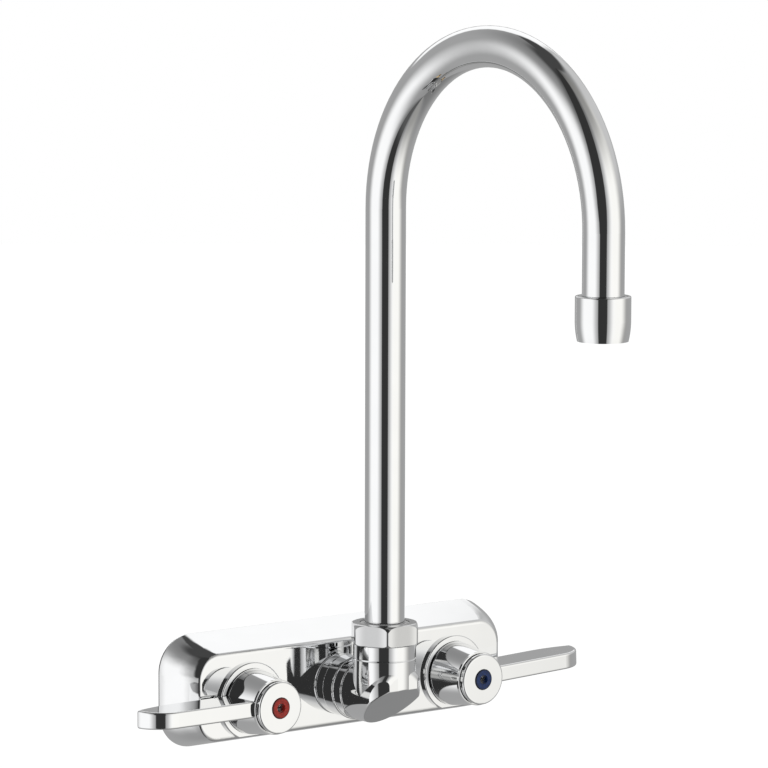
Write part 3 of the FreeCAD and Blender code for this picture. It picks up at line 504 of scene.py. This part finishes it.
class FaucetStudio(bpy.types.PropertyGroup):
    """Camera, floor and light tent."""

    aim: FloatVectorProperty(
        name="Aim", description="Point that the camera looks past", subtype="TRANSLATION", unit="LENGTH",
        size=3, default=(0.0, -0.06164, 0.1037))
    azimuth: FloatProperty(
        name="Azimuth", description="Camera's side, 0 in front of the wall and minus to the left",
        subtype="ANGLE", unit="ROTATION", default=math.radians(-38.33))
    elevation: FloatProperty(
        name="Elevation", description="Camera's height above level", subtype="ANGLE", unit="ROTATION",
        default=math.radians(7.66))
    roll: FloatProperty(
        name="Roll", description="Camera's turn about its own axis", subtype="ANGLE", unit="ROTATION",
        default=math.radians(0.22))
    distance: FloatProperty(
        name="Distance", description="Camera's distance from the aim point", subtype="DISTANCE",
        unit="LENGTH", default=1.896)
    lens: FloatProperty(
        name="Lens", description="Focal length on a 36 mm sensor, in millimetres", default=228.02, min=1.0)
    centre_x: FloatProperty(
        name="Optical centre across", description="Column of the lens axis in the picture, in pixels",
        subtype="PIXEL", default=419.7)
    centre_y: FloatProperty(
        name="Optical centre down", description="Row of the lens axis in the picture, in pixels",
        subtype="PIXEL", default=440.3)
    tent_radius: FloatProperty(
        name="Tent radius", description="Radius of the light tent", subtype="DISTANCE", unit="LENGTH",
        default=3.0, min=0.5)
    floor_depth: FloatProperty(
        name="Floor depth", description="How far the floor lies below the origin", subtype="DISTANCE",
        unit="LENGTH", default=3.2, min=0.1)
    softbox: FloatProperty(
        name="Softboxes", description="Brightness of the softboxes and the strip behind", default=1.13)
    backdrop: FloatProperty(
        name="Backdrop", description="Brightness of the grey behind and beside the faucet", default=0.40)
    flag: FloatProperty(
        name="Flag", description="Brightness of the dark flag round the camera", default=0.038)
    ceiling: FloatProperty(
        name="Ceiling", description="Brightness straight overhead", default=0.065)
    ground: FloatProperty(
        name="Ground", description="Brightness straight below", default=0.33)


class FAUCET_OT_body(bpy.types.Operator):
    """Chrome plate on the cast body"""
    bl_idname = "faucet.body"
    bl_label = "Cast body"

    def execute(self, context):
        look = context.scene.faucet_plate
        dress(plated("body_plate", look, ripple_grain=0.014), "faucet_body")
        return {"FINISHED"}


class FAUCET_OT_wall_gasket(bpy.types.Operator):
    """Closed-cell foam of the wall gasket"""
    bl_idname = "faucet.wall_gasket"
    bl_label = "Wall gasket"

    def execute(self, context):
        colours = context.scene.faucet_colours
        dress(closed_cell_foam("gasket_foam", tuple(colours.rubber)), "wall_gasket")
        return {"FINISHED"}


class FAUCET_OT_inlet_shanks(bpy.types.Operator):
    """Both inlet shanks, with their cut threads"""
    bl_idname = "faucet.inlet_shanks"
    bl_label = "Inlet shanks"

    def execute(self, context):
        cut = context.scene.faucet_shank
        colours = context.scene.faucet_colours
        brass = turned_metal("thread_brass", tuple(colours.brass), roughness=0.2, pitch=0.00025, axis=Y_AXIS)
        for side in SIDES:
            node = f"{side}_inlet_shank"
            stand_in(f"{side}_threaded_shank", self.thread(node, MOUNTS[f"{side}_inlet"], cut), node, brass)
        return {"FINISHED"}

    def thread(self, node, mount, cut):
        low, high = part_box(node)
        radius = mount["dims"]["r_mm"] / 1000
        supply_start = mount["pos_m"][1] - mount["dims"]["length_mm"] / 2000
        relief_start = supply_start - cut.relief_width
        shoulder = low[1] + cut.spigot
        spigot_radius = radius - cut.shoulder
        bore = spigot_radius - cut.wall

        def depth(y):
            """Share of the full thread depth, which runs out at both ends of each thread."""
            for start, end in ((shoulder, relief_start), (supply_start, high[1] + cut.pitch)):
                if start <= y <= end:
                    return min(1.0, (y - start) / cut.pitch, (end - y) / cut.pitch)
            return 0.0

        def outer(y, angle):
            if y < shoulder:
                return spigot_radius
            if relief_start < y < supply_start:
                return radius - cut.relief
            turn = (y / cut.pitch + angle / (2 * math.pi)) % 1.0
            flank = min(1.0, max(0.0, (abs(2 * turn - 1) - THREAD_FLAT) / (1 - 2 * THREAD_FLAT)))
            threaded = radius - cut.depth * depth(y) * flank
            return min(threaded, radius - cut.chamfer + (high[1] - y))

        step = cut.pitch / cut.rows
        count = math.ceil((high[1] - low[1]) / step)
        places = [low[1] + (high[1] - low[1]) * row / count for row in range(count + 1)]
        edges = (shoulder, relief_start, supply_start)
        hair = step / HAIRS_PER_STEP
        places = sorted(places + [edge + side * hair for edge in edges for side in (-1, 1)])
        shape = bmesh.new()
        angles = [2 * math.pi * column / cut.columns for column in range(cut.columns)]

        def ring(y, radii):
            return [shape.verts.new((mount["pos_m"][0] + size * math.cos(angle), y, size * math.sin(angle)))
                    for angle, size in zip(angles, radii)]

        rings = [ring(places[0], [bore] * cut.columns)]
        rings += [ring(y, [outer(y, angle) for angle in angles]) for y in places]
        rings.append(ring(places[-1], [bore] * cut.columns))
        for first, second in zip(rings, rings[1:] + rings[:1]):
            for column in range(cut.columns):
                after = (column + 1) % cut.columns
                shape.faces.new((first[column], first[after], second[after], second[column]))
        return mesh_of(node, shape, THREAD_SHARP_ANGLE)


class FAUCET_OT_panel_hardware(bpy.types.Operator):
    """Zinc-plated washers and brass nuts behind the panel"""
    bl_idname = "faucet.panel_hardware"
    bl_label = "Panel washers and nuts"

    def execute(self, context):
        colours = context.scene.faucet_colours
        dress(zinc_plate("washer_zinc", tuple(colours.steel)), "panel_washers")
        brass = turned_metal("nut_brass", tuple(colours.brass), roughness=0.24, pitch=0.0003, axis=Y_AXIS)
        dress(brass, "panel_nuts")
        return {"FINISHED"}


class FAUCET_OT_valves(bpy.types.Operator):
    """Ceramic discs, bonnets, stems and clips inside both valves"""
    bl_idname = "faucet.valves"
    bl_label = "Ceramic valves"

    def execute(self, context):
        colours = context.scene.faucet_colours
        discs = ceramic("disc_ceramic", tuple(colours.ceramic))
        brass = turned_metal("valve_brass", tuple(colours.brass), roughness=0.16, pitch=0.0002, axis=Y_AXIS)
        clip = turned_metal("clip_steel", tuple(colours.steel), roughness=0.22, pitch=0.0004, axis=Y_AXIS)
        for side in SIDES:
            dress(discs, f"{side}_fixed_disc", f"{side}_turning_disc")
            dress(brass, f"{side}_bonnet", f"{side}_stem")
            dress(clip, f"{side}_stem_clip")
        return {"FINISHED"}


class FAUCET_OT_seals(bpy.types.Operator):
    """Rubber seals of the valves, the shanks, the spout and the outlet"""
    bl_idname = "faucet.seals"
    bl_label = "Rubber seals"

    def execute(self, context):
        colours = context.scene.faucet_colours
        seals = ["shank_seals", "elbow_o_ring", "adapter_seal", "spout_o_rings", "aerator_washer"]
        for side in SIDES:
            seals += [f"{side}_seat_seal", f"{side}_bonnet_gasket", f"{side}_stem_o_rings"]
        dress(rubber("seal_rubber_black", tuple(colours.rubber)), *seals)
        return {"FINISHED"}


class FAUCET_OT_handles(bpy.types.Operator):
    """Chrome plate on both lever handles, and their steel screws"""
    bl_idname = "faucet.handles"
    bl_label = "Lever handles"

    def execute(self, context):
        look = context.scene.faucet_plate
        colours = context.scene.faucet_colours
        plate = plated("lever_plate", look, ripple_grain=0.02, ripple_share=0.4)
        dress(plate, *(f"{side}_lever_handle" for side in SIDES))
        screw = turned_metal("screw_steel", tuple(colours.steel), roughness=0.2, pitch=0.0003, axis=Y_AXIS)
        dress(screw, *(f"{side}_handle_screw" for side in SIDES))
        return {"FINISHED"}


class FAUCET_OT_index_rings(bpy.types.Operator):
    """Red and blue enamel of the index rings"""
    bl_idname = "faucet.index_rings"
    bl_label = "Index rings"

    def execute(self, context):
        colours = context.scene.faucet_colours
        for side, colour in (("hot", colours.hot), ("cold", colours.cold)):
            low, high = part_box(f"{side}_index_ring")
            centre = Vector(((low[0] + high[0]) / 2, low[1], (low[2] + high[2]) / 2))
            enamel = index_enamel(f"{side}_enamel", tuple(colour), centre, (high[0] - low[0]) / 2)
            dress(enamel, f"{side}_index_ring")
        return {"FINISHED"}


class FAUCET_OT_elbow(bpy.types.Operator):
    """Chrome plate on the forged elbow and the adapter above it"""
    bl_idname = "faucet.elbow"
    bl_label = "Elbow and adapter"

    def execute(self, context):
        look = context.scene.faucet_plate
        plate = plated("elbow_plate", look, ripple_grain=0.009, ripple_share=0.7)
        dress(plate, "spout_elbow", "spout_adapter")
        return {"FINISHED"}


class FAUCET_OT_spout_nut(bpy.types.Operator):
    """Chrome plate on the spout nut"""
    bl_idname = "faucet.spout_nut"
    bl_label = "Spout nut"

    def execute(self, context):
        look = context.scene.faucet_plate
        low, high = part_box("spout_nut")
        corners = (high[0] - low[0]) / 2
        flats = corners * math.cos(math.pi / NUT_SIDES)
        axis_y = (low[1] + high[1]) / 2
        dress(plated_nut("nut_plate", look, axis_y, flats, corners), "spout_nut")
        return {"FINISHED"}


class FAUCET_OT_swivel(bpy.types.Operator):
    """Plastic bushing and turned brass sleeve that the spout swivels in"""
    bl_idname = "faucet.swivel"
    bl_label = "Swivel bushing and sleeve"

    def execute(self, context):
        colours = context.scene.faucet_colours
        dress(moulded("bushing_grey", tuple(colours.bushing), roughness=0.38), "swivel_bushing")
        brass = tuple(colours.brass)
        sleeve = turned_metal("sleeve_brass", brass, roughness=0.18, pitch=0.0002, axis=Z_AXIS)
        dress(sleeve, "spout_sleeve")
        return {"FINISHED"}


class FAUCET_OT_spout_tube(bpy.types.Operator):
    """Chrome plate on the drawn gooseneck tube and the ferrule on its end"""
    bl_idname = "faucet.spout_tube"
    bl_label = "Gooseneck tube and ferrule"

    def execute(self, context):
        look = context.scene.faucet_plate
        plate = plated("tube_plate", look, ripple_grain=0.03, ripple_share=0.3)
        dress(plate, "spout_tube", "outlet_ferrule")
        return {"FINISHED"}


class FAUCET_OT_aerator(bpy.types.Operator):
    """Aerator housing, its plastic insert and its steel screen"""
    bl_idname = "faucet.aerator"
    bl_label = "Aerator"

    def execute(self, context):
        look = context.scene.faucet_plate
        colours = context.scene.faucet_colours
        dress(plated("aerator_plate", look, ripple_grain=0.01, ripple_share=0.3), "aerator_housing")
        dress(moulded("insert_plastic", tuple(colours.insert), roughness=0.4), "aerator_insert")
        steel = tuple(colours.steel)
        screen = turned_metal("screen_steel", steel, roughness=0.25, pitch=0.0004, axis=Z_AXIS)
        dress(screen, "aerator_screen")
        return {"FINISHED"}


class FAUCET_OT_stage(bpy.types.Operator):
    """Camera, pale floor, white world and the light tent that the chrome reflects"""
    bl_idname = "faucet.stage"
    bl_label = "Stage"

    def execute(self, context):
        scene = context.scene
        studio = scene.faucet_studio
        scene.view_settings.view_transform = "Standard"
        self.light_world(scene)
        self.pitch_tent(scene, studio)
        self.lay_floor(scene, studio)
        self.set_camera(scene, studio)
        return {"FINISHED"}

    def light_world(self, scene):
        scene.world = bpy.data.worlds.new("studio_white")
        scene.world.use_nodes = True
        shader = Shader(scene.world.node_tree)
        seen = self.seen_rays(shader)
        white = shader.node("ShaderNodeBackground", None, {
            "Color": (*WHITE, 1.0), "Strength": HIDDEN_WORLD + (1 - HIDDEN_WORLD) * seen})
        shader.close(white, "ShaderNodeOutputWorld")

    def seen_rays(self, shader):
        """1 for rays that show the background: straight from the camera, or by way of metal or glass."""
        rays = [shader.node("ShaderNodeLightPath", out=name)
                for name in ("Is Camera Ray", "Is Glossy Ray", "Is Transmission Ray")]
        return rays[0].math("MAXIMUM", rays[0], rays[1].math("MAXIMUM", rays[1], rays[2]))

    def pitch_tent(self, scene, studio):
        """A wide tent seen only by reflections: a softbox at each side, a dark flag at the camera."""
        shape = bmesh.new()
        bmesh.ops.create_icosphere(shape, subdivisions=TENT_SUBDIVISIONS, radius=studio.tent_radius)
        mesh = mesh_of("light_tent", shape, math.pi)
        tent = bpy.data.objects.new("light_tent", mesh)
        tent.location = studio.aim
        tent.rotation_euler = (0.0, 0.0, studio.azimuth)
        scene.collection.objects.link(tent)
        for ray in ("camera", "diffuse", "transmission", "volume_scatter", "shadow"):
            setattr(tent, f"visible_{ray}", False)
        material = bpy.data.materials.new("tent_cloth")
        material.use_nodes = True
        material.cycles.emission_sampling = "NONE"
        shader = Shader(material.node_tree)
        level, warm = self.tent_light(shader, studio)
        cloth = shader.node("ShaderNodeEmission", None, {
            "Color": shader.tint(warm, WHITE, WARM_WHITE), "Strength": level})
        shader.close(cloth)
        mesh.materials.append(material)

    def tent_light(self, shader, studio):
        """Brightness of the tent by the turn from the camera and the height above level, in degrees."""
        point = shader.place()
        across, out, up = (
            shader.node("ShaderNodeSeparateXYZ", None, {0: point}, out=axis) for axis in range(3))
        turn = across.math("ARCTAN2", across, 0 - out) * math.degrees(1)
        height = up.math("ARCSINE", up * (1 / studio.tent_radius)) * math.degrees(1)
        aside = abs(turn)
        on_left = turn.step(*TENT_LEFT)
        on_right = turn.step(*TENT_RIGHT)

        level = shader.node("ShaderNodeMapRange", None, {
            "Value": height.step(*GROUND_RISE), "To Min": studio.ground, "To Max": studio.backdrop})
        level = level * (1 - REAR_GROUND_LOSS * turn.step(*REAR_GROUND_TURN) * height.step(*REAR_GROUND_FALL))
        level = level * (1 - UPPER_LOSS * (height - UPPER_LAG * on_right).step(*UPPER_FALL))

        rear_box = turn.step(*REAR_BOX_START) * turn.step(*REAR_BOX_END)
        rear_box = rear_box * height.step(*REAR_BOX_FOOT) * height.step(*REAR_BOX_HEAD)
        level = level.towards(REAR_BOX_SHARE * studio.softbox, rear_box)
        left_box = turn.step(*LEFT_BOX_EDGE) * height.step(*LEFT_BOX_HEAD) * on_left
        narrowed = turn + RIGHT_BOX_NARROWED * height.step(*RIGHT_BOX_NARROWING)
        right_box = narrowed.step(*RIGHT_BOX_EDGE) * height.step(*RIGHT_BOX_HEAD) * on_right
        level = level.towards(studio.softbox, (left_box + right_box) * height.step(*BOX_FOOT))

        at_rear = turn.step(*CEILING_REAR_RIGHT) + turn.step(*CEILING_REAR_LEFT)
        at_side = turn.step(*CEILING_SIDE_START) * turn.step(*CEILING_SIDE_END)
        overhead = height + CEILING_REAR_DROP * at_rear - CEILING_SIDE_LIFT * at_side
        level = level.towards(studio.ceiling, overhead.step(*CEILING_RISE))

        from_behind = (180 - aside) * turn.math("SIGN", turn)
        off_strip = abs(from_behind + (STRIP_OFFSET - STRIP_SLANT * height)) + STRIP_TAPER * height
        strip = off_strip.step(*STRIP_EDGE) * height.step(*STRIP_FOOT) * height.step(*STRIP_HEAD)
        level = level.towards(studio.softbox, strip)

        shift = on_left * (FLAG_LEFT_SHIFT + FLAG_LEFT_RISEN * height.step(*FLAG_LEFT_RISE))
        shift = shift - FLAG_RIGHT_RISEN * on_right * height.step(*FLAG_RIGHT_RISE)
        from_flag = aside - shift - FLAG_TOP_RISEN * height.step(*FLAG_TOP_RISE)
        lit = FLAG_SHARP_SHARE * from_flag.step(*FLAG_SHARP_EDGE)
        lit = lit + FLAG_SOFT_SHARE * from_flag.step(*FLAG_SOFT_EDGE)
        level = level.towards(studio.flag + FLAG_FOOT_LIGHT * height.step(*FLAG_FOOT), 1 - lit)
        warm = turn.step(*WARM_START) * turn.step(*WARM_END)
        return level, warm

    def lay_floor(self, scene, studio):
        """Plain pale floor far below; it is white to the camera and still takes the object's shadow."""
        shape = bmesh.new()
        radius = FLOOR_SPREAD * studio.tent_radius
        bmesh.ops.create_circle(shape, cap_ends=True, segments=FLOOR_SEGMENTS, radius=radius)
        mesh = mesh_of("studio_floor", shape, math.pi)
        floor = bpy.data.objects.new("studio_floor", mesh)
        floor.location = (0.0, 0.0, -studio.floor_depth)
        scene.collection.objects.link(floor)
        material = bpy.data.materials.new("floor_paint")
        material.use_nodes = True
        shader = Shader(material.node_tree)
        paint = shader.node("ShaderNodeBsdfDiffuse", None, {"Color": (*shaded(WHITE, FLOOR_PAINT), 1.0)})
        lift = shader.node("ShaderNodeEmission", None, {
            "Color": (*WHITE, 1.0), "Strength": FLOOR_LIGHT * self.seen_rays(shader)})
        shader.close(shader.node("ShaderNodeAddShader", None, {0: paint, 1: lift}))
        mesh.materials.append(material)

    def set_camera(self, scene, studio):
        data = bpy.data.cameras.new("product_camera")
        data.lens = studio.lens
        data.sensor_width = SENSOR_WIDTH
        data.shift_x = (RENDER_PIXELS / 2 - studio.centre_x) / RENDER_PIXELS
        data.shift_y = (studio.centre_y - RENDER_PIXELS / 2) / RENDER_PIXELS
        camera = bpy.data.objects.new("product_camera", data)
        a, e = studio.azimuth, studio.elevation
        back = Vector((math.sin(a) * math.cos(e), -math.cos(a) * math.cos(e), math.sin(e)))
        right = Vector((math.cos(a), math.sin(a), 0.0))
        rolled = Matrix.Rotation(studio.roll, 3, back) @ right
        turn = Matrix((rolled, back.cross(rolled), back)).transposed()
        camera.matrix_world = Matrix.Translation(Vector(studio.aim) + studio.distance * back) @ turn.to_4x4()
        scene.collection.objects.link(camera)
        scene.camera = camera


PIECES = (
    FAUCET_OT_body, FAUCET_OT_wall_gasket, FAUCET_OT_inlet_shanks, FAUCET_OT_panel_hardware,
    FAUCET_OT_valves, FAUCET_OT_seals, FAUCET_OT_handles, FAUCET_OT_index_rings, FAUCET_OT_elbow,
    FAUCET_OT_spout_nut, FAUCET_OT_swivel, FAUCET_OT_spout_tube, FAUCET_OT_aerator, FAUCET_OT_stage,
)
GROUPS = (
    ("faucet_plate", FaucetPlate), ("faucet_colours", FaucetColours), ("faucet_shank", FaucetShank),
    ("faucet_studio", FaucetStudio),
)


class FAUCET_PT_panel(bpy.types.Panel):
    """Every step of the faucet's looks, with the sizes and colours it uses"""
    bl_idname = "FAUCET_PT_panel"
    bl_label = "Bar Sink Faucet"
    bl_space_type = "VIEW_3D"
    bl_region_type = "UI"
    bl_category = "Faucet"

    def draw(self, context):
        for name, group in GROUPS:
            box = self.layout.box()
            box.label(text=group.__doc__)
            for field in group.__annotations__:
                box.prop(getattr(context.scene, name), field)
        for piece in PIECES:
            self.layout.operator(piece.bl_idname)


def register():
    for name, group in GROUPS:
        bpy.utils.register_class(group)
        setattr(bpy.types.Scene, name, PointerProperty(type=group))
    for piece in (*PIECES, FAUCET_PT_panel):
        bpy.utils.register_class(piece)


def unregister():
    for piece in (FAUCET_PT_panel, *reversed(PIECES)):
        bpy.utils.unregister_class(piece)
    for name, group in reversed(GROUPS):
        delattr(bpy.types.Scene, name)
        bpy.utils.unregister_class(group)


def main():
    register()
    for piece in PIECES:
        family, step = piece.bl_idname.split(".")
        getattr(getattr(bpy.ops, family), step)()


if __name__ == "__main__":
    main()
